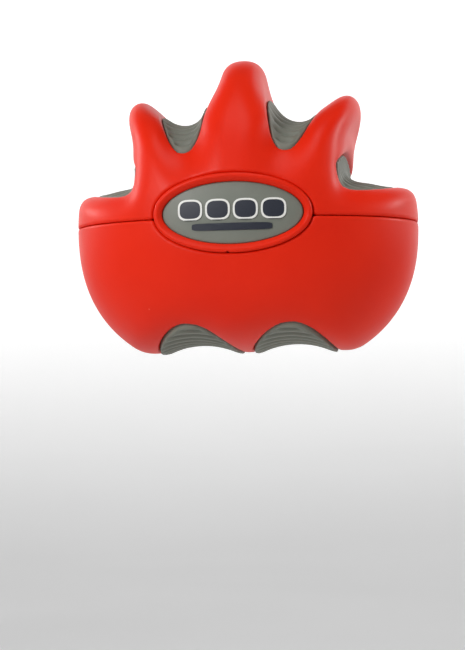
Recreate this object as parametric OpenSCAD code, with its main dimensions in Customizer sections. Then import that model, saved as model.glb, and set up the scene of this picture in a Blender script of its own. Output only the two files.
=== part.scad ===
// Finger exerciser: a soft two-part body with four sprung finger pads and two sprung thumb pads.
// Millimetres. +Z is up, +X is to the right and the badge faces -Y.
// The origin is on the base plane, under the middle of the body.

/* [Body] */
// Half of the body's width
body_a = 37.5; // [36.5:0.1:38.5]
// Half of the body's depth
body_b = 28; // [27.5:0.1:29]
// Height of the seam between the two halves
seam_z = 28.5; // [28.2:0.1:28.8]
// Height of the dome above the seam
dome_h = 36.6; // [36:0.1:38]
// Depth of the full bowl below the seam, which the base plane cuts short
bowl_h = 32.4; // [32.4:0.1:32.5]
// Roundness of the body seen from above, where 2 is an ellipse
plan_n = 2.2; // [2:0.1:2.4]
// Roundness of the bowl seen from the front
bowl_n = 2.4; // [2.2:0.1:2.5]

/* [Inner finger wells] */
// Distance of an inner well's crest from the middle
inner_x = 11.8; // [11.6:0.1:12]
// Height of an inner well's crest
inner_crest = 51.5; // [51.2:0.1:51.8]
// Radius of the well's floor along the finger
inner_floor_r = 34; // [33:0.5:35]
// Radius of the well across its floor
inner_tube = 4.2; // [4:0.1:4.4]
// Slope of each side of the well, in degrees
inner_open = 15; // [14:1:16]
// Outward lean of the well, in degrees
inner_lean = 10; // [9:1:11]
// Half width and half length of the window for the pad
inner_window = [6.2, 22];
// Distance of the wide part over the well's crest from the middle
scoop_x = 12.4; // [12.2:0.1:12.6]
// Height of the floor of that wide part
scoop_crest = 52.3; // [52.1:0.1:52.6]
// Radius of the wide part across the finger
scoop_tube = 8.6; // [8.4:0.1:8.7]

/* [Outer finger wells] */
// Distance of an outer well's crest from the middle
outer_x = 29.1; // [28.9:0.1:29.4]
// Height of an outer well's crest
outer_crest = 36.9; // [36.7:0.1:37.2]
// Radius of the well's floor along the finger
outer_floor_r = 55; // [50:1:60]
// Radius of the well across the finger
outer_tube = 9.6; // [9.4:0.1:9.8]
// Outward lean of the well, in degrees
outer_lean = 24; // [23:1:25]
// Distance of the window's straight inner edge from the middle
outer_edge_x = 20.6; // [20.5:0.1:20.8]
// Distance of the nook at the foot of the outer fin from the middle
nook_x = 27.9; // [27.8:0.1:28.1]
// Half width and half height of the nook
nook = [6, 4.1];
// Half axes of the curve that closes the window
outer_window = [33.2, 25];

/* [Thumb wells] */
// Distance of a thumb well from the middle
thumb_x = 10.4; // [10.3:0.1:10.5]
// Height of the well's crest above the base
thumb_crest = 2.4; // [2.2:0.1:2.6]
// Radius of the well along the thumb
thumb_floor_r = 60; // [55:1:65]
// Radius of the well across the thumb
thumb_tube = 19; // [18:0.5:20]
// Half width and half length of the window for the pad
thumb_window = [9.2, 19.5];

/* [Pads and springs] */
// Thickness of a soft finger or thumb pad
pad_t = 3.2; // [2.8:0.1:3.4]
// How far a finger pad can be pressed
finger_travel = 6; // [4:0.5:6]
// How far a thumb pad can be pressed
thumb_travel = 5; // [3:0.5:5]
// Thickness of a tray's retaining flange
flange_t = 1.5; // [1.3:0.1:1.6]
// Radius of a guide post
post_r = 1.5; // [1.3:0.1:1.6]
// Length of a spring at rest
spring_l = 10.8; // [10.4:0.1:11]
// Mean radius of a spring's coil
spring_r = 3.3; // [3:0.1:3.4]
// Radius of the spring wire
wire_r = 0.35; // [0.3:0.05:0.35]
// Turns of a spring
spring_turns = 5.5; // [5:0.5:6]

/* [Badge] */
// Half axes of the badge bezel's outer edge
bezel_out = [16.6, 8.2];
// Half axes of the badge bezel's inner edge
bezel_in = [14.8, 6.6];
// Height of the badge's middle above the seam
badge_up = 0.9; // [0.8:0.1:1]
// How far the bezel stands proud of the body
bezel_proud = 0.5; // [0.3:0.1:0.8]
// Depth of the badge seat
seat_depth = 2.4; // [2:0.1:3]
// How far the badge plate lies below the body's surface
plate_sink = 0.6; // [0.4:0.1:1]

/* [Hidden] */
$fn = 48;

// Clearances
pad_gap = 0.35;      // pad to window, all round
flange_over = 0.9;   // flange beyond the window
shaft_over = 1.3;    // shaft beyond the window
rest_gap = 0.1;      // flange to its ledge at rest
bore_gap = 0.08;     // guide post to its bore
pocket_gap = 0.4;    // frame to the pocket round it
seat_gap = 0.1;      // bezel to its seat
post_room = 0.7;     // lower end of an outer guide post to the hole round it
peg_room = 0.3;      // end of a peg to the bottom of its hole
spring_gap = 0.05;   // end of a spring to its seat
stop_gap = 0.9;      // a thumb flange pressed all the way to the frame

// Cutting shapes
cut = 1;             // how far one runs past what it cuts
far = 50;            // half the side of a block larger than the body

// Heights, from the base up
pad_foot = 0.4;                          // lowest point of a thumb pad
thumb_ledge = 8;
inner_ledge = 40.4;
outer_ledge = 31;
inner_flange_z = inner_ledge - rest_gap - flange_t;
outer_flange_z = outer_ledge - rest_gap - flange_t;
thumb_flange_z = thumb_ledge + rest_gap;
inner_seat_z = inner_flange_z - spring_l;
outer_seat_z = outer_flange_z - spring_l;
thumb_seat_z = thumb_flange_z + flange_t + spring_l;

// Wells
well_rise = 16;                          // how far a well is cut above the middle of its floor's curve
scoop_floor_r = 90;
scoop_lean = 6;
inner_pad_rise = 8;                      // tall enough for an inner pad, which thins out below this
outer_pad_rise = 6.4;                    // how far an outer pad climbs the side of its fin
nook_n = 2.6;                            // roundness of the nook
nook_rise = 0.3;                         // floor of the nook above the well's crest
tray_rise = 0.5;                         // how far a tray may climb above its well's crest
inner_window_n = 2.4;                    // roundness of the windows seen from above
thumb_window_n = 2.1;

// Core frame
plate_z = thumb_flange_z + flange_t + thumb_travel + stop_gap;   // underside of the frame plate
plate_t = outer_seat_z - plate_z;        // its top is the outer springs' seat
plate_axes = [30.9, 21.7];
boss_r = 7;                              // one boss carries an inner finger spring and holds a thumb spring
boss_x = 11.3;
tube_r = 2.9;                            // outside of a guide tube
well_r = 4.7;                            // spring well in the underside of a boss
spigot_r = 2.3;                          // centres a spring
spigot_h = 1.6;
outer_spring_x = 26.3;
inner_post = [11, 14];                   // places of the guide posts, from the middle
outer_post = [26, 8.6];
thumb_post = [10.8, 9.4];
inner_post_end = 21.5;
outer_post_end = 16;
thumb_post_end = 23.5;
inner_tube_top = 30;
outer_tube_top = 23;
thumb_tube_top = 27;

// Thumb flange and shaft, set outward so that the ridge between the thumb wells stays whole
thumb_shift = 1.2;
thumb_flange = [9, 20.1];
thumb_shaft = [9.4, 20.5];

// Inside of the body
rib_w = 6;                               // the upper body's rib, which holds the frame down
rib_l = 39;
peg_r = 1.3;                             // pegs on the lower body that key the upper one
peg_h = 2.4;
peg_tip = 0.5;                           // chamfer at the end of a peg
peg_at = [9, 24.3];

// Springs
end_turn = 0.75;                         // turns that lie closed at each end

// Badge
badge_steps = 62;                        // points round its ovals
print_h = 0.2;                           // thickness of the print
print_lift = 0.03;                       // keeps the print's facets clear of the plate's
print_steps = 32;                        // points round a mark and round the bar
mark = [2.6, 2.2];                       // half axes of a fingertip mark of the print
mark_n = 3;                              // squareness of a mark
mark_pitch = 5.8;
mark_up = 0.7;                           // middle of the marks above the badge's middle
bar = [8.4, 0.75];                       // half axes of the bar under the marks
bar_n = 6;                               // squareness of the bar
bar_at = [0, -2.9];

function spow(v, e) = sign(v) * pow(abs(v), e);

// Points of a superellipse with half axes a and b, the first one turned by a share of a step
function oval(a, b, n = 2.2, steps = 48, turn = 0) =
    [for (i = [0:steps - 1]) let (t = 360 * (i + turn) / steps)
        [a * spow(cos(t), 2 / n), b * spow(sin(t), 2 / n)]];

// A point of the body's surface, grown by g
function body_point(lon, lat, g) =
    let (up = lat >= 0,
         n = up ? 2 : bowl_n,
         ring = pow(abs(cos(lat)), 2 / n))
    [(body_a + g) * ring * spow(cos(lon), 2 / plan_n),
     (body_b + g) * ring * spow(sin(lon), 2 / plan_n),
     seam_z + ((up ? dome_h : bowl_h) + g) * spow(sin(lat), 2 / n)];

// Front of the body, as y for a place x across and z above the seam, grown by g
function front_y(x, z, g) =
    let (n = z >= 0 ? 2 : bowl_n,
         c = (z >= 0 ? dome_h : bowl_h) + g,
         s = pow(1 - pow(abs(z) / c, n), 1 / n))
    -(body_b + g) * pow(pow(s, plan_n) - pow(abs(x) / (body_a + g), plan_n), 1 / plan_n);

// The whole body before anything is cut: dome and bowl in one closed surface
module body_blank(g = 0, lon_steps = 72, lat_steps = 36) {
    rings = [for (i = [1:lat_steps - 1]) -90 + 180 * i / lat_steps];
    points = concat(
        [[0, 0, seam_z - bowl_h - g], [0, 0, seam_z + dome_h + g]],
        [for (lat = rings, j = [0:lon_steps - 1]) body_point(360 * j / lon_steps, lat, g)]);
    last = len(rings) - 1;
    function at(i, j) = 2 + i * lon_steps + (j % lon_steps);
    faces = concat(
        [for (j = [0:lon_steps - 1]) [0, at(0, j), at(0, j + 1)]],
        [for (i = [0:last - 1], j = [0:lon_steps - 1])
            [at(i, j), at(i + 1, j), at(i + 1, j + 1), at(i, j + 1)]],
        [for (j = [0:lon_steps - 1]) [1, at(last, j + 1), at(last, j)]]);
    polyhedron(points, faces, convexity = 4);
}

// Section of a well, as height above its floor and distance from its middle: a round floor of the
// given radius whose sides open by an angle. extra makes it larger all round.
function well_section(tube, open, extra, steps = 16) =
    let (r = tube + extra,
         reach = 90 - open,
         foot = tube - r * sin(open),
         top = tube + well_rise,
         top_w = r * cos(open) + (top - foot) * tan(open))
    concat([for (i = [0:steps]) let (t = -reach + 2 * reach * i / steps) [tube - r * cos(t), r * sin(t)]],
           [[top, top_w], [top, -top_w]]);

// Section of the nook that an outer well has at the foot of its fin, larger all round by extra
function nook_section(extra) =
    [for (p = oval(nook[1] + extra, nook[0] + extra, nook_n, 24)) [nook[1] + p[0], p[1]]];

// A section swept round a ring, whose floor passes through the crest at (x, z), leaning outward
module sweep(section, x, z, floor_r, lean, ring_steps = 60) {
    translate([x, 0, z])
        rotate([0, lean, 0])
            translate([0, 0, -floor_r])
                rotate([0, 90, 0])
                    rotate_extrude($fn = ring_steps)
                        translate([floor_r, 0])
                            polygon(section);
}

module channel(x, z, floor_r, tube, lean, open = 0, extra = 0, ring_steps = 60) {
    sweep(well_section(tube, open, extra), x, z, floor_r, lean, ring_steps);
}

// A narrow well that opens into a wide part near the top of the dome
module inner_channel(side, extra = 0) {
    channel(side * inner_x, inner_crest, inner_floor_r, inner_tube, side * inner_lean, inner_open, extra);
    channel(side * scoop_x, scoop_crest, scoop_floor_r, scoop_tube, side * scoop_lean, 0, extra);
}

// A round well that reaches in under its fin
module outer_channel(side, extra = 0) {
    channel(side * outer_x, outer_crest, outer_floor_r, outer_tube, side * outer_lean, 0, extra);
    sweep(nook_section(extra), side * nook_x, outer_crest + nook_rise, outer_floor_r, 0);
}

// Everything under the ring at which an outer pad's side ends, grown by g
module under_pad_ring(g = 0) {
    translate([-far, 0, outer_crest - outer_floor_r])
        rotate([0, 90, 0])
            cylinder(r = outer_floor_r + outer_pad_rise + g, h = 2 * far, $fn = 60);
}

module thumb_channel(side, extra = 0) {
    channel(side * thumb_x, thumb_crest, thumb_floor_r, thumb_tube, 180, 0, extra, ring_steps = 90);
}

// Outlines of the windows, seen from above, grown by g
function inner_outline(side, g) =
    [for (p = oval(inner_window[0] + g, inner_window[1] + g, inner_window_n))
        let (drop = inner_floor_r - sqrt(inner_floor_r * inner_floor_r - p[1] * p[1]))
        [side * (inner_x - drop * sin(inner_lean) + p[0]), p[1]]];

function outer_outline(side, g, steps = 30) =
    let (a = outer_window[0] + g,
         b = outer_window[1] + g,
         end = acos(pow((outer_edge_x - g) / a, plan_n / 2)))
    [for (i = [0:steps]) let (t = -end + 2 * end * i / steps)
        [side * a * spow(cos(t), 2 / plan_n), b * spow(sin(t), 2 / plan_n)]];

function thumb_outline(side, axes, shift = 0) =
    [for (p = oval(axes[0], axes[1], thumb_window_n, turn = 0.5)) [side * (thumb_x + shift + p[0]), p[1]]];

// A straight shaft between two heights, with the given convex outline
module shaft(outline, z0, z1) {
    hull() prism(outline, z0, z1);
}

// The same solid as shaft(), for the pieces whose true faces matter
module prism(outline, z0, z1) {
    translate([0, 0, z0]) linear_extrude(z1 - z0) polygon(outline);
}

// What is taken out of both halves for the badge
module badge_seat() {
    difference() {
        translate([0, -body_b / 2, seam_z + badge_up])
            rotate([90, 0, 0])
                linear_extrude(body_b)
                    polygon(oval(bezel_out[0] + seat_gap, bezel_out[1] + seat_gap, 2, badge_steps));
        body_blank(-seat_depth);
    }
}

// ---- Body ----

// Top half: the dome with three fins between four wells, and shafts for the finger pads
module upper_body() {
    color("orangered")
        difference() {
            union() {
                difference() {
                    body_blank();
                    translate([-far, -far, -far]) cube([2 * far, 2 * far, far + seam_z]);
                    for (side = [-1, 1]) {
                        inner_channel(side);
                        outer_channel(side);
                        shaft(inner_outline(side, 0),
                              inner_ledge - cut, inner_crest + inner_pad_rise + cut);
                        shaft(inner_outline(side, shaft_over), seam_z - cut, inner_ledge);
                        intersection() {
                            shaft(outer_outline(side, 0),
                                  outer_ledge - cut, outer_crest + outer_pad_rise + pad_gap);
                            under_pad_ring(pad_gap);
                        }
                        shaft(outer_outline(side, shaft_over), seam_z - cut, outer_ledge);
                    }
                    shaft(oval(plate_axes[0] + pocket_gap, plate_axes[1] + pocket_gap),
                          seam_z - cut, outer_ledge);
                }
                translate([-rib_w / 2, -rib_l / 2, outer_seat_z])
                    cube([rib_w, rib_l, outer_ledge + cut - outer_seat_z]);
            }
            for (x = [-1, 1], y = [-1, 1])
                translate([x * peg_at[0], y * peg_at[1], seam_z - cut])
                    cylinder(r = peg_r + seat_gap, h = cut + peg_h + peg_room, $fn = 16);
            badge_seat();
        }
}

// Bottom half: the bowl with two thumb wells, and a stepped pocket for the frame
module lower_body() {
    color("orangered")
        difference() {
            union() {
                difference() {
                    body_blank();
                    translate([-far, -far, seam_z]) cube([2 * far, 2 * far, far]);
                    translate([-far, -far, -far]) cube([2 * far, 2 * far, far]);
                    for (side = [-1, 1]) {
                        thumb_channel(side);
                        shaft(thumb_outline(side, thumb_window), -cut, plate_z + cut);
                        shaft(thumb_outline(side, thumb_shaft, thumb_shift), thumb_ledge, plate_z + cut);
                        shaft(outer_outline(side, shaft_over),
                              outer_flange_z - finger_travel - pocket_gap, seam_z + cut);
                        for (end = [-1, 1])
                            translate([side * outer_post[0], end * outer_post[1],
                                       outer_post_end - finger_travel - pocket_gap])
                                cylinder(r = post_r + post_room, h = plate_z, $fn = 20);
                    }
                    shaft(oval(plate_axes[0] + pocket_gap, plate_axes[1] + pocket_gap),
                          plate_z, seam_z + cut);
                }
                for (x = [-1, 1], y = [-1, 1])
                    hull() {
                        translate([x * peg_at[0], y * peg_at[1], seam_z - cut])
                            cylinder(r = peg_r, h = cut + peg_h - peg_tip, $fn = 16);
                        translate([x * peg_at[0], y * peg_at[1], seam_z - cut])
                            cylinder(r = peg_r - peg_tip, h = cut + peg_h, $fn = 16);
                    }
            }
            badge_seat();
        }
}

// ---- Core frame ----

// Repeats its child at four places, mirrored both ways
module each_post(place) {
    for (x = [-1, 1], y = [-1, 1]) translate([x * place[0], y * place[1], 0]) children();
}

// Rigid frame that guides all six trays and takes their springs
module core_frame() {
    bore = post_r + bore_gap;
    color("darkslategray")
        difference() {
            union() {
                prism(oval(plate_axes[0], plate_axes[1]), plate_z, plate_z + plate_t);
                for (side = [-1, 1]) {
                    translate([side * boss_x, 0, plate_z])
                        cylinder(r = boss_r, h = inner_seat_z - plate_z);
                    translate([side * inner_x, 0, inner_seat_z - cut])
                        cylinder(r = spigot_r, h = cut + spigot_h);
                    translate([side * outer_spring_x, 0, outer_seat_z - cut])
                        cylinder(r = spigot_r, h = cut + spigot_h);
                }
                each_post(inner_post) translate([0, 0, plate_z])
                    cylinder(r = tube_r, h = inner_tube_top - plate_z);
                each_post(outer_post) translate([0, 0, plate_z])
                    cylinder(r = tube_r, h = outer_tube_top - plate_z);
                each_post(thumb_post) translate([0, 0, plate_z])
                    cylinder(r = tube_r, h = thumb_tube_top - plate_z);
            }
            for (side = [-1, 1])
                translate([side * thumb_x, 0, plate_z - cut])
                    difference() {
                        cylinder(r = well_r, h = cut + thumb_seat_z - plate_z);
                        translate([0, 0, cut + thumb_seat_z - plate_z - spigot_h])
                            cylinder(r = spigot_r, h = spigot_h + cut);
                    }
            for (place = [inner_post, outer_post, thumb_post])
                each_post(place) translate([0, 0, plate_z - cut])
                    cylinder(r = bore, h = inner_tube_top - plate_z + 2 * cut);
        }
}

// ---- Finger pads and trays ----

// Side of finger 1 to 4, from left to right, and whether its well is an outer one
function side_of(i) = i < 3 ? -1 : 1;
function is_outer(i) = i == 1 || i == 4;
function finger_outline(i, g) = is_outer(i) ? outer_outline(side_of(i), g) : inner_outline(side_of(i), g);
function finger_flange_z(i) = is_outer(i) ? outer_flange_z : inner_flange_z;

function pad_top(i) = is_outer(i) ? outer_crest + outer_pad_rise : inner_crest + inner_pad_rise;

module finger_channel(i, extra) {
    if (is_outer(i)) outer_channel(side_of(i), extra);
    else inner_channel(side_of(i), extra);
}

// The space that a finger pad may fill, before its well is taken out
module pad_blank(i, z0) {
    if (is_outer(i))
        intersection() {
            prism(finger_outline(i, -pad_gap), z0, pad_top(i));
            under_pad_ring();
        }
    else
        prism(finger_outline(i, -pad_gap), z0, pad_top(i));
}

// Soft pad: a layer that follows the well, inside the window's outline
module finger_pad(i) {
    z0 = finger_flange_z(i) + flange_t;
    color("dimgray")
        difference() {
            pad_blank(i, z0);
            finger_channel(i, 0);
            difference() {
                prism(finger_outline(i, cut), z0 - cut, pad_top(i) + cut);
                finger_channel(i, pad_t);
            }
        }
}

// Rigid tray under a finger pad: a flange that the body holds back, and two guide posts
module finger_tray(i) {
    outer = is_outer(i);
    z0 = finger_flange_z(i);
    core_top = (outer ? outer_crest : inner_crest) + tray_rise;
    place = outer ? outer_post : inner_post;
    post_end = outer ? outer_post_end : inner_post_end;
    spring_x = outer ? outer_spring_x : inner_x;
    color("gainsboro")
        union() {
            prism(finger_outline(i, flange_over), z0, z0 + flange_t);
            difference() {
                prism(finger_outline(i, -pad_gap), z0 + flange_t / 2, core_top);
                finger_channel(i, pad_t);
            }
            for (end = [-1, 1])
                translate([side_of(i) * place[0], end * place[1], post_end])
                    cylinder(r = post_r, h = z0 + flange_t / 2 - post_end);
            translate([side_of(i) * spring_x, 0, z0 - spigot_h])
                cylinder(r = spigot_r, h = spigot_h + flange_t / 2);
        }
}

// ---- Thumb pads and trays ----

// Soft pad: a layer that follows the well, inside the window's outline
module thumb_pad(side) {
    outline = thumb_outline(side, [thumb_window[0] - pad_gap, thumb_window[1] - pad_gap]);
    color("dimgray")
        difference() {
            intersection() {
                prism(outline, pad_foot, thumb_flange_z);
                thumb_channel(side, pad_t);
            }
            thumb_channel(side, 0);
        }
}

// Rigid tray over a thumb pad, with its flange and two guide posts that rise into the frame
module thumb_tray(side) {
    outline = thumb_outline(side, [thumb_window[0] - pad_gap, thumb_window[1] - pad_gap]);
    flange = thumb_outline(side, thumb_flange, thumb_shift);
    top = thumb_flange_z + flange_t;
    color("gainsboro")
        union() {
            prism(flange, thumb_flange_z, top);
            difference() {
                prism(outline, pad_foot, top - flange_t / 2);
                thumb_channel(side, pad_t);
            }
            for (end = [-1, 1])
                translate([side * thumb_post[0], end * thumb_post[1], top - flange_t / 2])
                    cylinder(r = post_r, h = thumb_post_end - top + flange_t / 2);
            translate([side * thumb_x, 0, top - flange_t / 2])
                cylinder(r = spigot_r, h = spigot_h + flange_t / 2);
        }
}

// ---- Springs ----

// Height along a spring, as a share of its length, with both end turns closed
function coil_share(t) =
    let (closed = end_turn / spring_turns, rise = end_turn * 2 * wire_r / (spring_l - 2 * wire_r))
    t < closed ? rise * t / closed
    : t > 1 - closed ? 1 - rise * (1 - t) / closed
    : rise + (1 - 2 * rise) * (t - closed) / (1 - 2 * closed);

// Compression spring standing on z = 0, swept along its helix
module coil_spring(sides = 6, rings_per_turn = 16) {
    count = floor(spring_turns * rings_per_turn);
    climb = spring_l - 2 * wire_r - 2 * spring_gap;
    points = [for (i = [0:count], k = [0:sides - 1])
        let (turn = 360 * spring_turns * i / count,
             a = 360 * k / sides,
             r = spring_r + wire_r * cos(a),
             z = spring_gap + wire_r + climb * coil_share(i / count) + wire_r * sin(a))
        [r * cos(turn), r * sin(turn), z]];
    function at(i, k) = i * sides + (k % sides);
    faces = concat(
        [[for (k = [0:sides - 1]) at(0, k)]],
        [for (i = [0:count - 1], k = [0:sides - 1])
            [at(i, k), at(i + 1, k), at(i + 1, k + 1), at(i, k + 1)]],
        [[for (k = [sides - 1:-1:0]) at(count, k)]]);
    polyhedron(points, faces, convexity = 10);
}

module finger_spring(i) {
    outer = is_outer(i);
    color("silver")
        translate([side_of(i) * (outer ? outer_spring_x : inner_x), 0, outer ? outer_seat_z : inner_seat_z])
            coil_spring();
}

module thumb_spring(side) {
    color("silver")
        translate([side * thumb_x, 0, thumb_flange_z + flange_t])
            coil_spring();
}

// ---- Badge ----

// A point on the body's front, grown by g, for a place p measured from the badge's middle
function front_point(p, g) = [p[0], front_y(p[0], p[1] + badge_up, g), seam_z + badge_up + p[1]];

// A plate that follows the body's front, between two growths g0 (inside) and g1 (outside).
// loops is a list of closed outlines, from the plate's hole or round its centre out to its edge.
module front_plate(loops, g0, g1, centre = [0, 0], holed = false) {
    steps = len(loops[0]);
    n = len(loops);
    middle = holed ? [] : [for (g = [g0, g1]) front_point(centre, g)];
    points = concat([for (g = [g0, g1], loop = loops, p = loop) front_point(p, g)], middle);
    function at(layer, ring, k) = (layer * n + ring) * steps + (k % steps);
    walls = [for (k = [0:steps - 1])
        [at(0, n - 1, k), at(0, n - 1, k + 1), at(1, n - 1, k + 1), at(1, n - 1, k)]];
    inside = [for (k = [0:steps - 1]) holed
        ? [at(0, 0, k + 1), at(0, 0, k), at(1, 0, k), at(1, 0, k + 1)]
        : [2 * n * steps, at(0, 0, k + 1), at(0, 0, k)]];
    front = holed ? [] : [for (k = [0:steps - 1]) [2 * n * steps + 1, at(1, 0, k), at(1, 0, k + 1)]];
    skins = [for (ring = [0:1:n - 2], k = [0:steps - 1], layer = [0, 1]) layer == 0
        ? [at(0, ring, k), at(0, ring, k + 1), at(0, ring + 1, k + 1), at(0, ring + 1, k)]
        : [at(1, ring, k + 1), at(1, ring, k), at(1, ring + 1, k), at(1, ring + 1, k + 1)]];
    polyhedron(points, concat(walls, inside, front, skins), convexity = 4);
}

// Raised rim round the badge
module badge_bezel() {
    color("orangered")
        front_plate([for (axes = [bezel_in, bezel_out]) oval(axes[0], axes[1], 2, badge_steps)],
                    seat_gap - seat_depth, bezel_proud, holed = true);
}

// Outline in rings, each a share of the outermost, round a centre
function rings_of(axes, n, steps, shares, centre = [0, 0]) =
    [for (share = shares) [for (p = oval(axes[0] * share, axes[1] * share, n, steps)) p + centre]];

// Plain oval plate inside the rim
module badge_plate() {
    axes = [bezel_in[0] - seat_gap, bezel_in[1] - seat_gap];
    color("gray")
        front_plate(rings_of(axes, 2, badge_steps, [0.25, 0.5, 0.75, 1]),
                    seat_gap - seat_depth, -plate_sink);
}

// A small printed sign: four fingertip marks over a bar, raised a little from the plate
module badge_print() {
    under = print_lift - plate_sink;
    color("white") {
        for (i = [-1.5:1.5])
            let (at = [i * mark_pitch, mark_up])
                front_plate(rings_of(mark, mark_n, print_steps, [0.5, 1], at), under, under + print_h, at);
        front_plate(rings_of(bar, bar_n, print_steps, [0.25, 0.5, 0.75, 1], bar_at),
                    under, under + print_h, bar_at);
    }
}

lower_body();
upper_body();
core_frame();
for (i = [1:4]) {
    finger_pad(i);
    finger_tray(i);
    finger_spring(i);
}
for (hand = [["left", -1], ["right", 1]]) {
    thumb_pad(hand[1]);
    thumb_tray(hand[1]);
    thumb_spring(hand[1]);
}
badge_bezel();
badge_plate();
badge_print();
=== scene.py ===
import math

import bpy
import numpy as np
import openvdb
from mathutils import Matrix, Vector


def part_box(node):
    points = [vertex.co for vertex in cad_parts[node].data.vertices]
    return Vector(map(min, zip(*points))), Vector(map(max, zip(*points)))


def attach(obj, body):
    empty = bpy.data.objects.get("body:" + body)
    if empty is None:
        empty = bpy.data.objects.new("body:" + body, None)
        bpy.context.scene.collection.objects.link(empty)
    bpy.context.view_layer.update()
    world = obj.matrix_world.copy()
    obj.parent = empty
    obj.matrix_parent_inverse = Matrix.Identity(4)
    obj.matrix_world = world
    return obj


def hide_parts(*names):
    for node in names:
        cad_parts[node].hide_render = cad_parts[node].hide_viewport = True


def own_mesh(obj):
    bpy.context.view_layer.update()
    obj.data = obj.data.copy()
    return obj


MM = 0.001

# ---------------------------------------------------------------- sizes, in mm, as in the CAD part
BODY_A, BODY_B = 37.5, 28.0
SEAM_Z = 28.5
DOME_H, BOWL_H = 36.6, 32.4
PLAN_N, BOWL_N = 2.2, 2.4
INNER = dict(x=11.8, crest=51.5, floor_r=34.0, tube=4.2, lean=10.0, open_deg=15.0)
SCOOP = dict(x=12.4, crest=52.3, floor_r=90.0, tube=8.6, lean=6.0, open_deg=0.0)
OUTER = dict(x=29.1, crest=36.9, floor_r=55.0, tube=9.6, lean=24.0, open_deg=0.0)
NOOK = dict(x=27.9, half=(6.0, 4.1), n=2.6, rise=0.3)
THUMB = dict(x=10.4, crest=2.4, floor_r=60.0, tube=19.0, lean=180.0, open_deg=0.0)
INNER_WINDOW, INNER_WINDOW_N = (6.2, 22.0), 2.4
OUTER_WINDOW, OUTER_EDGE = (33.2, 25.0), 20.6
THUMB_WINDOW, THUMB_WINDOW_N = (9.2, 19.5), 2.1
THUMB_SHAFT, THUMB_SHIFT = (9.4, 20.5), 1.2
PAD_T = 3.2
PAD_GAP, SHAFT_OVER = 0.35, 1.3
LEDGE = {"inner": 40.4, "outer": 31.0, "thumb": 8.0}
PAD_BASE = {"inner": 40.3, "outer": 30.9}
PAD_TOP = {"inner": 59.5, "outer": 43.3}
OUTER_PAD_RISE = 6.4
THUMB_PAD_Z = (0.4, 8.1)
BADGE_Z = SEAM_Z + 0.9
BEZEL_OUT, BEZEL_IN = (16.6, 8.2), (14.8, 6.6)
BEZEL_PROUD, SEAT_DEPTH, SEAT_GAP, PLATE_SINK = 0.5, 2.4, 0.1, 0.6
MARK, MARK_PITCH, MARK_UP = (2.6, 2.2), 5.8, 0.7
BAR_HALF, BAR_DOWN = 0.75, 2.9
PLATE_AXES, PLATE_Z, POCKET_GAP = (30.9, 21.7), 15.5, 0.4
OUTER_SHAFT_Z = 23.0
OUTER_POST, POST_HOLE_R, POST_HOLE_Z = (26.0, 8.6), 2.2, 9.6

# How softly edges are rounded, in mm
FIN_ROUND = 5.0
SCOOP_ROUND = 3.0
OUTER_ROUND = 4.0
NOOK_ROUND = 1.5
THUMB_ROUND = 5.0
BASE_ROUND = 1.0
WINDOW_CORNER, WINDOW_ROOF = 1.2, 1.5
LIP_ROUND = 0.9
SEAT_ROUND = 0.9
SEAM_ROUND = 0.5
PAD_SIDE_ROUND, PAD_RIM_ROUND, PAD_BACK_ROUND = 0.4, 0.7, 0.3
PLATE_ROUND = 0.4

# Small allowances, in mm
WINDOW_INSET = 0.15     # how far the shell reaches in over a window
PAD_OVER = 0.1          # how far a pad reaches out over its CAD edge
ROOF_OVER = 0.2         # an outer window's roof above its pad
HALF_SEAM = 0.04        # each half's distance from the seam's plane
PAST = 1                # how far a cut runs past what it cuts
FRONT_Y = -5            # the badge's pieces lie in front of this
PAD_BOX = 1.2           # room round a pad's CAD box

# The badge's rim, in mm: the slope inside its ridge, and a small moulding tick at its foot
RIM_SLOPE, RIM_DROP, RIM_ROUND = 1.2, 0.8, 0.45
TICK_X, TICK_R, TICK_ROUND = -0.9, 0.3, 0.2

# The printed sign: the light border of a mark, in mm, and how square a mark is
PRINT_BORDER, MARK_N = 0.4, 3.0

# Ribs on the pads, in mm. They fade out towards the pad's edge.
RIB_PITCH, RIB_FADE = 3.1, 1.6
RIB_DEPTH = {"inner": 0.75, "outer": 0.75, "thumb": 1.15}


# ---------------------------------------------------------------- distance fields
def smax(a, b, k):
    """The larger of two fields, rounding the edge where they meet over a width of k."""
    h = np.maximum(k - np.abs(a - b), 0.0) / k
    return np.maximum(a, b) + h * h * k * 0.25


def smin(a, b, k):
    """The smaller of two fields, rounded in the same way."""
    return -smax(-a, -b, k)


def blank(p):
    """Distance to the body before anything is cut: an ellipsoid-like dome over a fuller bowl."""
    x, y, z = np.abs(p[0]), np.abs(p[1]), p[2] - SEAM_Z
    n = np.where(z >= 0, 2.0, BOWL_N)
    c = np.where(z >= 0, DOME_H, BOWL_H)
    ax, by, cz = x / BODY_A, y / BODY_B, np.abs(z) / c
    plan = ax ** PLAN_N + by ** PLAN_N + 1e-9
    s = plan ** (n / PLAN_N) + cz ** n + 1e-9
    r = s ** (1 / n)
    common = plan ** (n / PLAN_N - 1)
    gx = common * ax ** (PLAN_N - 1) / BODY_A
    gy = common * by ** (PLAN_N - 1) / BODY_B
    gz = cz ** (n - 1) / c
    slope = s ** (1 / n - 1) * np.sqrt(gx * gx + gy * gy + gz * gz) + 1e-6
    return (r - 1) / slope


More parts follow.
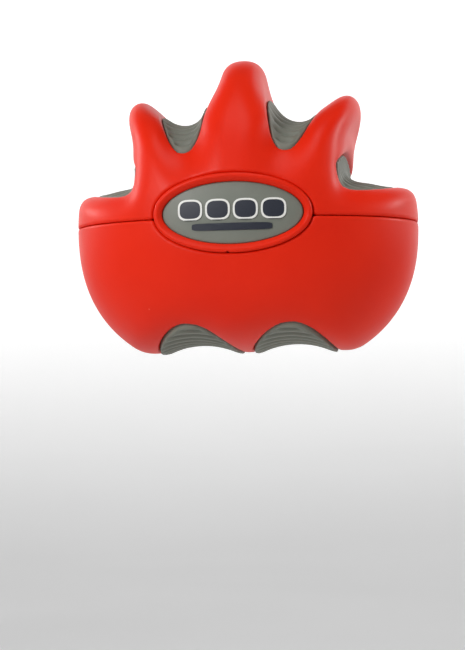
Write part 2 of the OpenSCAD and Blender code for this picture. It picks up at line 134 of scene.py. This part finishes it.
def channel(p, side, x, crest, floor_r, tube, lean, open_deg):
    """Distance to a well, and the place along it: a round-floored groove swept round a ring."""
    t = math.radians(lean * (side if lean != 180 else 1))
    dx, dz = p[0] - side * x, p[2] - crest
    across = dx * math.cos(t) - dz * math.sin(t)
    up = dx * math.sin(t) + dz * math.cos(t) + floor_r
    radial = np.hypot(p[1], up)
    h = radial - floor_r - tube
    w = np.abs(across)
    o = math.radians(open_deg)
    wall = w * math.cos(o) - h * math.sin(o) - tube
    d = np.where(h * math.cos(o) + w * math.sin(o) > 0, wall, np.hypot(h, w) - tube)
    return d, floor_r * np.arctan2(p[1], up)


def inner_well(p, side):
    """A narrow well that opens into a wide part near the top."""
    narrow, along = channel(p, side, **INNER)
    wide, _ = channel(p, side, **SCOOP)
    return smin(narrow, wide, SCOOP_ROUND), along


def outer_ring(p, rise):
    """Distance to the ring that lies a given height above the outer wells' floor."""
    radial = np.hypot(p[1], p[2] - OUTER["crest"] + OUTER["floor_r"])
    return radial - OUTER["floor_r"] - rise


def outer_well(p, side):
    """A round well that reaches in under its fin."""
    round_part, along = channel(p, side, **OUTER)
    h = outer_ring(p, NOOK["rise"] + NOOK["half"][1])
    nook = oval(p[0] - side * NOOK["x"], h, *NOOK["half"], NOOK["n"])
    return smin(round_part, nook, NOOK_ROUND), along


def thumb_well(p, side):
    return channel(p, side, **THUMB)


def oval(u, v, a, b, n=2.0):
    """Distance in a plane to a superellipse with half axes a and b."""
    au, bv = np.abs(u) / a, np.abs(v) / b
    s = au ** n + bv ** n + 1e-9
    r = s ** (1 / n)
    slope = s ** (1 / n - 1) * np.hypot(au ** (n - 1) / a, bv ** (n - 1) / b) + 1e-6
    return (r - 1) / slope


def inner_window(p, side, grow):
    """Distance, seen from above, to the window in an inner well."""
    drop = INNER["floor_r"] - np.sqrt(np.maximum(INNER["floor_r"] ** 2 - p[1] ** 2, 1.0))
    middle = side * (INNER["x"] - drop * math.sin(math.radians(INNER["lean"])))
    return oval(p[0] - middle, p[1], INNER_WINDOW[0] + grow, INNER_WINDOW[1] + grow, INNER_WINDOW_N)


def outer_window(p, side, grow):
    curve = oval(p[0], p[1], OUTER_WINDOW[0] + grow, OUTER_WINDOW[1] + grow, PLAN_N)
    return smax(curve, OUTER_EDGE - grow - side * p[0], WINDOW_CORNER)


def thumb_window(p, side, grow, shift=0.0, size=THUMB_WINDOW):
    middle = side * (THUMB["x"] + shift)
    return oval(p[0] - middle, p[1], size[0] + grow, size[1] + grow, THUMB_WINDOW_N)


def slab(z, low, high):
    """Distance to the layer between two heights."""
    return np.maximum(low - z, z - high)


def pocket(p, low, high):
    """The room for the core frame."""
    plan = oval(p[0], p[1], PLATE_AXES[0] + POCKET_GAP, PLATE_AXES[1] + POCKET_GAP, PLAN_N)
    return np.maximum(plan, slab(p[2], low, high))


def badge_seat(p):
    """The room for the badge, in the front of both halves."""
    in_oval = oval(p[0], p[2] - BADGE_Z, BEZEL_OUT[0] + SEAT_GAP, BEZEL_OUT[1] + SEAT_GAP)
    return np.maximum(np.maximum(in_oval, -SEAT_DEPTH - blank(p)), p[1])


def upper_field(p):
    """The upper shell: four wells, their windows, and the shafts and the pocket inside."""
    d = blank(p)
    z = p[2]
    for side in (-1, 1):
        d = smax(d, -outer_well(p, side)[0], OUTER_ROUND)
        d = smax(d, -inner_well(p, side)[0], FIN_ROUND)
    for side in (-1, 1):
        d = smax(d, -np.maximum(inner_window(p, side, -WINDOW_INSET), LEDGE["inner"] - PAST - z), LIP_ROUND)
        ends = np.maximum(LEDGE["outer"] - PAST - z, outer_ring(p, OUTER_PAD_RISE + ROOF_OVER))
        d = smax(d, -smax(outer_window(p, side, -WINDOW_INSET), ends, WINDOW_ROOF), LIP_ROUND)
        d = np.maximum(d, -np.maximum(inner_window(p, side, SHAFT_OVER), z - LEDGE["inner"]))
        d = np.maximum(d, -np.maximum(outer_window(p, side, SHAFT_OVER), z - LEDGE["outer"]))
    d = np.maximum(d, -pocket(p, 0, LEDGE["outer"]))
    d = smax(d, -badge_seat(p), SEAT_ROUND)
    return smax(d, SEAM_Z + HALF_SEAM - z, SEAM_ROUND)


def lower_field(p):
    """The lower shell: two wells, their windows, and the shafts, post holes and pocket inside."""
    d = blank(p)
    z = p[2]
    for side in (-1, 1):
        d = smax(d, -thumb_well(p, side)[0], THUMB_ROUND)
    d = smax(d, -z, BASE_ROUND)
    for side in (-1, 1):
        d = smax(d, -np.maximum(thumb_window(p, side, -WINDOW_INSET), z - PLATE_Z - PAST), LIP_ROUND)
        plan = thumb_window(p, side, 0, THUMB_SHIFT, THUMB_SHAFT)
        shaft = np.maximum(plan, slab(z, LEDGE["thumb"], PLATE_Z + PAST))
        d = np.maximum(d, -shaft)
        d = np.maximum(d, -np.maximum(outer_window(p, side, SHAFT_OVER), OUTER_SHAFT_Z - z))
        for end in (-1, 1):
            hole = np.hypot(p[0] - side * OUTER_POST[0], p[1] - end * OUTER_POST[1]) - POST_HOLE_R
            d = np.maximum(d, -np.maximum(hole, POST_HOLE_Z - z))
    d = np.maximum(d, -pocket(p, PLATE_Z, 2 * SEAM_Z))
    d = smax(d, -badge_seat(p), SEAT_ROUND)
    return smax(d, z - SEAM_Z + HALF_SEAM, SEAM_ROUND)


def ribs(along, depth):
    """Depth of the grooves between a pad's ribs: broad round ribs with narrow grooves."""
    wave = 0.5 + 0.5 * np.cos(2 * np.pi * along / RIB_PITCH)
    return depth * wave ** 2


def pad_field(kind, side):
    """A pad: a ribbed layer that follows its well, inside its window."""
    wells = {"inner": inner_well, "outer": outer_well, "thumb": thumb_well}
    windows = {"inner": inner_window, "outer": outer_window, "thumb": thumb_window}

    def field(p):
        well, along = wells[kind](p, side)
        edge = windows[kind](p, side, -PAD_GAP + PAD_OVER)
        if kind == "thumb":
            ends = slab(p[2], *THUMB_PAD_Z)
        else:
            ends = slab(p[2], PAD_BASE[kind], PAD_TOP[kind])
        if kind == "outer":
            ends = np.maximum(ends, outer_ring(p, OUTER_PAD_RISE))
        fade = np.clip(-edge / RIB_FADE, 0.0, 1.0)
        top = ribs(along, RIB_DEPTH[kind]) * fade - well
        d = smax(edge, ends, PAD_SIDE_ROUND)
        d = smax(d, top, PAD_RIM_ROUND)
        return smax(d, well - PAD_T, PAD_BACK_ROUND)

    return field


def bezel_field(p):
    """Raised rim of the badge: a ridge along its outer edge that slopes down to the plate."""
    middle = [(o + i) / 2 for o, i in zip(BEZEL_OUT, BEZEL_IN)]
    half_w = (BEZEL_OUT[0] - BEZEL_IN[0]) / 2
    u = oval(p[0], p[2] - BADGE_Z, *middle)
    v = blank(p)
    t = np.clip((u + half_w) / RIM_SLOPE, 0.0, 1.0)
    top = BEZEL_PROUD - RIM_DROP * (1 - t * t * (3 - 2 * t))
    low = -SEAT_DEPTH + SEAT_GAP
    qu = np.abs(u) - half_w + RIM_ROUND
    qv = np.abs(v - (low + top) / 2) - (top - low) / 2 + RIM_ROUND
    d = np.hypot(np.maximum(qu, 0), np.maximum(qv, 0)) + np.minimum(np.maximum(qu, qv), 0) - RIM_ROUND
    tick = np.hypot(p[0] - TICK_X, u - half_w) - TICK_R
    d = smax(d, -np.maximum(tick, p[2] - BADGE_Z), TICK_ROUND)
    return np.maximum(d, p[1] - FRONT_Y)


def plate_field(p):
    """The badge's plate, which follows the body's front."""
    edge = oval(p[0], p[2] - BADGE_Z, BEZEL_IN[0] - SEAT_GAP, BEZEL_IN[1] - SEAT_GAP)
    layer = slab(blank(p), -SEAT_DEPTH + SEAT_GAP, -PLATE_SINK)
    return np.maximum(smax(edge, layer, PLATE_ROUND), p[1] - FRONT_Y)


# ---------------------------------------------------------------- meshes
def gradient(field, v, e=0.02):
    """Slope of a field at each point, from differences over 2e."""
    g = np.empty_like(v)
    for k in range(3):
        step = np.zeros((3, 1))
        step[k] = e
        g[:, k] = (field(v.T + step) - field(v.T - step)) / (2 * e)
    return g


def settle(field, v, rounds):
    """Moves points onto the field's surface."""
    for _ in range(rounds):
        g = gradient(field, v)
        d = field(v.T)
        move = d / np.maximum((g * g).sum(1), 0.05)
        v = v - g * np.clip(move, -0.3, 0.3)[:, None]
    return v


def relax(v, quads, normals, amount=0.5):
    """Evens out the quads without moving points off the surface."""
    total, count = np.zeros_like(v), np.zeros(len(v))
    for a, b in ((0, 1), (1, 2), (2, 3), (3, 0)):
        for i, j in ((a, b), (b, a)):
            np.add.at(total, quads[:, i], v[quads[:, j]])
            np.add.at(count, quads[:, i], 1)
    move = total / np.maximum(count, 1)[:, None] - v
    move -= normals * (move * normals).sum(1)[:, None]
    return v + amount * move


def directions(field, v, e=0.02):
    """The surface's outward direction at each point."""
    n = gradient(field, v, e)
    return n / np.maximum(np.linalg.norm(n, axis=1), 1e-9)[:, None]


def build(name, field, low, high, step):
    """A smooth mesh of a distance field, inside a box in mm."""
    low, high = np.array(low, float), np.array(high, float)
    shape = np.ceil((high - low) / step).astype(int) + 1
    axes = [low[k] + step * np.arange(shape[k]) for k in range(3)]
    x, y, z = np.meshgrid(*axes, indexing="ij")
    values = field(np.array([x, y, z]))
    grid = openvdb.FloatGrid(background=step * 3)
    grid.copyFromArray(np.clip(values, -step * 3, step * 3).astype(np.float32))
    points, quads = grid.convertToQuads(isovalue=0.0)
    v = points.astype(float) * step + low
    quads = quads.astype(int)
    for _ in range(3):
        v = settle(field, v, 1)
        v = relax(v, quads, directions(field, v))
    v = settle(field, v, 3)
    n = directions(field, v, 0.05)
    a, b, c = v[quads[:, 0]], v[quads[:, 1]], v[quads[:, 2]]
    outward = (np.cross(b - a, c - a) * n[quads[:, 0]]).sum() > 0
    if not outward:
        quads = quads[:, ::-1]
    mesh = bpy.data.meshes.new(name)
    mesh.from_pydata((v * MM).tolist(), [], quads.tolist())
    mesh.polygons.foreach_set("use_smooth", [True] * len(mesh.polygons))
    mesh.validate()
    if len(mesh.vertices) == len(n):
        mesh.normals_split_custom_set_from_vertices(n.tolist())
    obj = bpy.data.objects.new(name, mesh)
    bpy.context.scene.collection.objects.link(obj)
    return obj


# ---------------------------------------------------------------- materials
def material(name):
    """A new node material, with its nodes, its links and its shader."""
    m = bpy.data.materials.new(name)
    m.use_nodes = True
    nodes, links = m.node_tree.nodes, m.node_tree.links
    return m, nodes, links, nodes["Principled BSDF"]


def noise(nodes, links, scale, detail):
    """Noise that stays put on the object, whose size is in metres."""
    place = nodes.new("ShaderNodeTexCoord")
    n = nodes.new("ShaderNodeTexNoise")
    n.inputs["Scale"].default_value = scale
    n.inputs["Detail"].default_value = detail
    links.new(place.outputs["Object"], n.inputs["Vector"])
    return n


def ramp(nodes, links, source, stops):
    """A ramp between two colours, over a source between 0 and 1."""
    r = nodes.new("ShaderNodeValToRGB")
    for e, (at, colour) in zip(r.color_ramp.elements, stops):
        e.position = at
        e.color = colour
    links.new(source, r.inputs["Fac"])
    return r


def span(nodes, links, source, low, high, start=0.0, end=1.0):
    """Maps a source that runs from start to end on to low to high."""
    m = nodes.new("ShaderNodeMapRange")
    m.inputs["From Min"].default_value = start
    m.inputs["From Max"].default_value = end
    m.inputs["To Min"].default_value = low
    m.inputs["To Max"].default_value = high
    links.new(source, m.inputs["Value"])
    return m.outputs["Result"]


def bump(nodes, links, bsdf, heights, distance):
    """Adds several heights up, one bump node after another."""
    last = None
    for source, strength in heights:
        b = nodes.new("ShaderNodeBump")
        b.inputs["Strength"].default_value = strength
        b.inputs["Distance"].default_value = distance
        links.new(source, b.inputs["Height"])
        if last is not None:
            links.new(last, b.inputs["Normal"])
        last = b.outputs["Normal"]
    links.new(last, bsdf.inputs["Normal"])


def specks(nodes, links, spacing, size):
    """Dots far apart, such as dust on a moulding."""
    place = nodes.new("ShaderNodeTexCoord")
    cells = nodes.new("ShaderNodeTexVoronoi")
    cells.inputs["Scale"].default_value = 1 / spacing
    links.new(place.outputs["Object"], cells.inputs["Vector"])
    dot = nodes.new("ShaderNodeMapRange")
    dot.inputs["From Min"].default_value = size / spacing
    dot.inputs["From Max"].default_value = 0.5 * size / spacing
    links.new(cells.outputs["Distance"], dot.inputs["Value"])
    return dot.outputs["Result"]


def uneven_gloss(nodes, links, bsdf, scale, detail, roughness):
    """Roughness that wanders between two values."""
    wander = noise(nodes, links, scale, detail)
    links.new(span(nodes, links, wander.outputs["Fac"], *roughness), bsdf.inputs["Roughness"])


def soft_rubber(name, light, dark, speck, roughness, specular):
    """Satin elastomer: a faint mottle, a fine moulded skin and a few specks."""
    m, nodes, links, bsdf = material(name)
    mottle = noise(nodes, links, 60, 4)
    colour = ramp(nodes, links, mottle.outputs["Fac"], [(0.3, dark), (0.7, light)])
    dusty = nodes.new("ShaderNodeMix")
    dusty.data_type = "RGBA"
    dusty.inputs["B"].default_value = speck
    links.new(specks(nodes, links, 0.007, 0.0003), dusty.inputs["Factor"])
    links.new(colour.outputs["Color"], dusty.inputs["A"])
    links.new(dusty.outputs["Result"], bsdf.inputs["Base Color"])
    uneven_gloss(nodes, links, bsdf, 220, 3, roughness)
    skin = noise(nodes, links, 2600, 2)
    waves = noise(nodes, links, 140, 2)
    bump(nodes, links, bsdf, [(waves.outputs["Fac"], 0.10), (skin.outputs["Fac"], 0.08)], 0.0003)
    bsdf.inputs["Specular IOR Level"].default_value = specular
    bsdf.inputs["Subsurface Weight"].default_value = 0.05
    bsdf.inputs["Subsurface Radius"].default_value = (0.004, 0.001, 0.0006)
    bsdf.inputs["Subsurface Scale"].default_value = 1.0
    return m


def calc(nodes, links, operation, a, b=0.0):
    """One math node on two numbers or sockets."""
    n = nodes.new("ShaderNodeMath")
    n.operation = operation
    for value, socket in zip((a, b), n.inputs):
        if isinstance(value, (int, float)):
            socket.default_value = value
        else:
            links.new(value, socket)
    return n.outputs["Value"]


def printed_ink(name, border, fill):
    """Ink of the badge's sign: light borders round dark fingertip marks, and a dark bar."""
    m, nodes, links, bsdf = material(name)
    place = nodes.new("ShaderNodeTexCoord")
    axes = nodes.new("ShaderNodeSeparateXYZ")
    links.new(place.outputs["Object"], axes.inputs["Vector"])
    pitch = MARK_PITCH * MM
    middle = (BADGE_Z + MARK_UP) * MM
    shifted = calc(nodes, links, "ADD", axes.outputs["X"], pitch / 2)
    across = calc(nodes, links, "PINGPONG", shifted, pitch / 2)
    up = calc(nodes, links, "ABSOLUTE", calc(nodes, links, "SUBTRACT", axes.outputs["Z"], middle))
    inner = [(half - PRINT_BORDER) * MM for half in MARK]
    u = calc(nodes, links, "POWER", calc(nodes, links, "DIVIDE", across, inner[0]), MARK_N)
    v = calc(nodes, links, "POWER", calc(nodes, links, "DIVIDE", up, inner[1]), MARK_N)
    in_mark = calc(nodes, links, "LESS_THAN", calc(nodes, links, "ADD", u, v), 1.0)
    in_bar = calc(nodes, links, "LESS_THAN", axes.outputs["Z"], (BADGE_Z - BAR_DOWN + 2 * BAR_HALF) * MM)
    dark = calc(nodes, links, "MAXIMUM", in_mark, in_bar)
    colour = nodes.new("ShaderNodeMix")
    colour.data_type = "RGBA"
    colour.inputs["A"].default_value = border
    colour.inputs["B"].default_value = fill
    links.new(dark, colour.inputs["Factor"])
    links.new(colour.outputs["Result"], bsdf.inputs["Base Color"])
    uneven_gloss(nodes, links, bsdf, 400, 2, (0.4, 0.5))
    return m


def plain_plastic(name, light, dark, roughness, metallic=0.0):
    """Hard plastic or metal: a faint mottle and a very fine grain."""
    m, nodes, links, bsdf = material(name)
    mottle = noise(nodes, links, 150, 3)
    colour = ramp(nodes, links, mottle.outputs["Fac"], [(0.3, dark), (0.7, light)])
    links.new(colour.outputs["Color"], bsdf.inputs["Base Color"])
    uneven_gloss(nodes, links, bsdf, 400, 2, roughness)
    bump(nodes, links, bsdf, [(noise(nodes, links, 3000, 2).outputs["Fac"], 0.08)], 0.0002)
    bsdf.inputs["Metallic"].default_value = metallic
    return m


def coat(obj, mat):
    obj.data.materials.clear()
    obj.data.materials.append(mat)


# ---------------------------------------------------------------- scene
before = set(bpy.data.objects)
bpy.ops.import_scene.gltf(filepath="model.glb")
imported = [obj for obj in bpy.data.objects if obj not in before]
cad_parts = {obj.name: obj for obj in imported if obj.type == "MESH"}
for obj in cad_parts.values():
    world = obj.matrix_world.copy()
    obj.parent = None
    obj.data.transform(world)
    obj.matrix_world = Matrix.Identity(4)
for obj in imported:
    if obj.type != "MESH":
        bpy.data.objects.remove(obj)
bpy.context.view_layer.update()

# Size of the meshes' quads, in mm, for the shells and for small pieces
STEP = 0.5
FINE = 0.35

red = soft_rubber("soft_red", (0.84, 0.023, 0.004, 1), (0.79, 0.018, 0.003, 1), (0.90, 0.10, 0.06, 1),
                  (0.34, 0.42), 0.15)
grey = soft_rubber("grey_pad", (0.200, 0.205, 0.168, 1), (0.165, 0.170, 0.138, 1), (0.30, 0.30, 0.26, 1),
                   (0.46, 0.56), 0.40)
badge_grey = plain_plastic("badge_grey", (0.185, 0.198, 0.165, 1), (0.170, 0.183, 0.152, 1), (0.42, 0.5))
ink = printed_ink("print_white", (0.82, 0.82, 0.78, 1), (0.012, 0.016, 0.030, 1))
dark_plastic = plain_plastic("frame_plastic", (0.05, 0.055, 0.055, 1), (0.04, 0.045, 0.045, 1), (0.4, 0.5))
pale_plastic = plain_plastic("tray_plastic", (0.62, 0.62, 0.6, 1), (0.55, 0.55, 0.53, 1), (0.4, 0.5))
steel = plain_plastic("spring_steel", (0.6, 0.6, 0.6, 1), (0.5, 0.5, 0.5, 1), (0.25, 0.35), 1.0)


def add(name, field, low, high, step, mat, body, node):
    """A mesh of a field, in place of a CAD node."""
    obj = build(name, field, low, high, step)
    coat(obj, mat)
    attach(obj, body)
    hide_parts(node)


def add_pad(kind, side, body, node):
    """A ribbed pad, built in the CAD pad's box and a little round it."""
    low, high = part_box(node)
    low = [c / MM - PAD_BOX for c in low]
    high = [c / MM + PAD_BOX for c in high]
    add(f"ribbed_{node}", pad_field(kind, side), low, high, FINE, grey, body, node)


add("upper_shell", upper_field, (-39, -29.5, SEAM_Z - 1), (39, 29.5, 66.5), STEP,
    red, "housing", "upper_body")
add("lower_shell", lower_field, (-39, -29.5, -1.5), (39, 29.5, SEAM_Z + 1), STEP,
    red, "housing", "lower_body")
add("badge_rim", bezel_field, (-18.5, -29.5, SEAM_Z - 10), (18.5, -15, SEAM_Z + 10), FINE,
    red, "housing", "badge_bezel")
add("badge_face", plate_field, (-16.5, -29.5, SEAM_Z - 8), (16.5, -15, SEAM_Z + 8), FINE,
    badge_grey, "housing", "badge_plate")
for i, kind in ((1, "outer"), (2, "inner"), (3, "inner"), (4, "outer")):
    add_pad(kind, -1 if i < 3 else 1, f"finger_{i}", f"finger_pad_{i}")
for hand, side in (("left", -1), ("right", 1)):
    add_pad("thumb", side, f"thumb_{hand}", f"thumb_pad_{hand}")

# The hard pieces keep their CAD shapes
hard_pieces = {"core_frame": dark_plastic, "badge_print": ink, "tray": pale_plastic, "spring": steel}
for name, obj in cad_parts.items():
    for kind, mat in hard_pieces.items():
        if kind in name:
            coat(obj, mat)


def press(spring):
    """Gives a spring its own copy of its mesh, so that it no longer shares it with other pieces."""
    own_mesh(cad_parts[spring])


for i, kind in ((1, "outer"), (2, "inner"), (3, "inner"), (4, "outer")):
    press(f"finger_spring_{i}")
for hand in ("left", "right"):
    press(f"thumb_spring_{hand}")

# ---------------------------------------------------------------- floor, light and camera, in metres
centre = Vector((0, 0, 0.032))

FLOOR_Z, FLOOR_RINGS = -0.16, (0.3, 0.7)
WALL_R, WALL_TOP, BEND_R = 1.6, 1.4, 0.45
# The backdrop glows from the floor up, and from the front to the back
GLOW_BY_HEIGHT, GLOW_BY_DEPTH, GLOW_TOP = (0.16, 0.80), (0.18, 1.0), 0.1


def studio_paint():
    """Pale paint that glows by its place."""
    m, nodes, links, bsdf = material("studio")
    paint = ramp(nodes, links, noise(nodes, links, 3, 2).outputs["Fac"],
                 [(0.3, (0.60, 0.60, 0.60, 1)), (0.7, (0.64, 0.64, 0.64, 1))])
    links.new(paint.outputs["Color"], bsdf.inputs["Base Color"])
    place = nodes.new("ShaderNodeTexCoord")
    axes = nodes.new("ShaderNodeSeparateXYZ")
    links.new(place.outputs["Object"], axes.inputs["Vector"])
    by_height = span(nodes, links, axes.outputs["Z"], *GLOW_BY_HEIGHT, FLOOR_Z, GLOW_TOP)
    by_depth = span(nodes, links, axes.outputs["Y"], *GLOW_BY_DEPTH, -WALL_R / 2, WALL_R / 2)
    bsdf.inputs["Emission Color"].default_value = (1, 1, 1, 1)
    links.new(calc(nodes, links, "MULTIPLY", by_height, by_depth), bsdf.inputs["Emission Strength"])
    bsdf.inputs["Roughness"].default_value = 0.9
    return m


def studio_sweep():
    """Round floor that curves up into a wall, so that the backdrop has no edge."""
    bend = [(WALL_R - BEND_R + BEND_R * math.sin(t), FLOOR_Z + BEND_R * (1 - math.cos(t)))
            for t in np.linspace(0, math.pi / 2, 9)]
    profile = [(r, FLOOR_Z) for r in FLOOR_RINGS] + bend + [(WALL_R, WALL_TOP)]
    steps = 64
    turns = [2 * math.pi * k / steps for k in range(steps)]
    points = [(r * math.cos(t), r * math.sin(t), z) for r, z in profile for t in turns]

    def at(ring, k):
        return ring * steps + k % steps

    faces = [[at(i, k), at(i + 1, k), at(i + 1, k + 1), at(i, k + 1)]
             for i in range(len(profile) - 1) for k in range(steps)]
    faces.append(list(range(steps)))
    mesh = bpy.data.meshes.new("studio")
    mesh.from_pydata(points, [], faces)
    mesh.polygons.foreach_set("use_smooth", [True] * len(mesh.polygons))
    obj = bpy.data.objects.new("studio", mesh)
    bpy.context.scene.collection.objects.link(obj)
    obj.data.materials.append(studio_paint())


studio_sweep()


def lamp(name, at, size, watts):
    """A round soft lamp that faces the object."""
    data = bpy.data.lights.new(name, "AREA")
    data.shape = "DISK"
    data.size = size
    data.energy = watts
    obj = bpy.data.objects.new(name, data)
    bpy.context.scene.collection.objects.link(obj)
    obj.location = at
    obj.rotation_mode = "QUATERNION"
    obj.rotation_quaternion = (centre - Vector(at)).to_track_quat("-Z", "Y")


lamp("key", (-0.38, -0.60, 0.32), 0.25, 2.5)
lamp("top", (0.02, -0.30, 0.68), 0.35, 1.2)
lamp("right_rim", (0.50, 0.16, 0.22), 0.16, 0.8)
lamp("left_rim", (-0.50, 0.16, 0.22), 0.16, 0.55)

world = bpy.data.worlds.new("studio")
world.use_nodes = True
world.node_tree.nodes["Background"].inputs["Color"].default_value = (1, 1, 1, 1)
world.node_tree.nodes["Background"].inputs["Strength"].default_value = 0.10
bpy.context.scene.world = world
bpy.context.scene.view_settings.view_transform = "Standard"


def turn(degrees, axis):
    return Matrix.Rotation(math.radians(degrees), 4, axis)


def place_camera(azimuth, elevation, distance, roll, pitch, yaw):
    """Looks at the object from slightly below, which then stands above the middle of the picture."""
    data = bpy.data.cameras.new("camera")
    data.lens = 100
    data.clip_start = 0.01
    data.clip_end = 20
    obj = bpy.data.objects.new("camera", data)
    bpy.context.scene.collection.objects.link(obj)
    a, e = math.radians(azimuth), math.radians(elevation)
    back = Vector((math.sin(a) * math.cos(e), -math.cos(a) * math.cos(e), math.sin(e)))
    obj.location = centre + back * distance
    aim = (-back).to_track_quat("-Z", "Y").to_matrix().to_4x4()
    obj.rotation_mode = "QUATERNION"
    obj.rotation_quaternion = (aim @ turn(roll, "Z") @ turn(pitch, "X") @ turn(yaw, "Y")).to_quaternion()
    bpy.context.scene.camera = obj


place_camera(azimuth=7.0, elevation=-5.2, distance=0.40, roll=-1.0, pitch=-3.6, yaw=0.48)
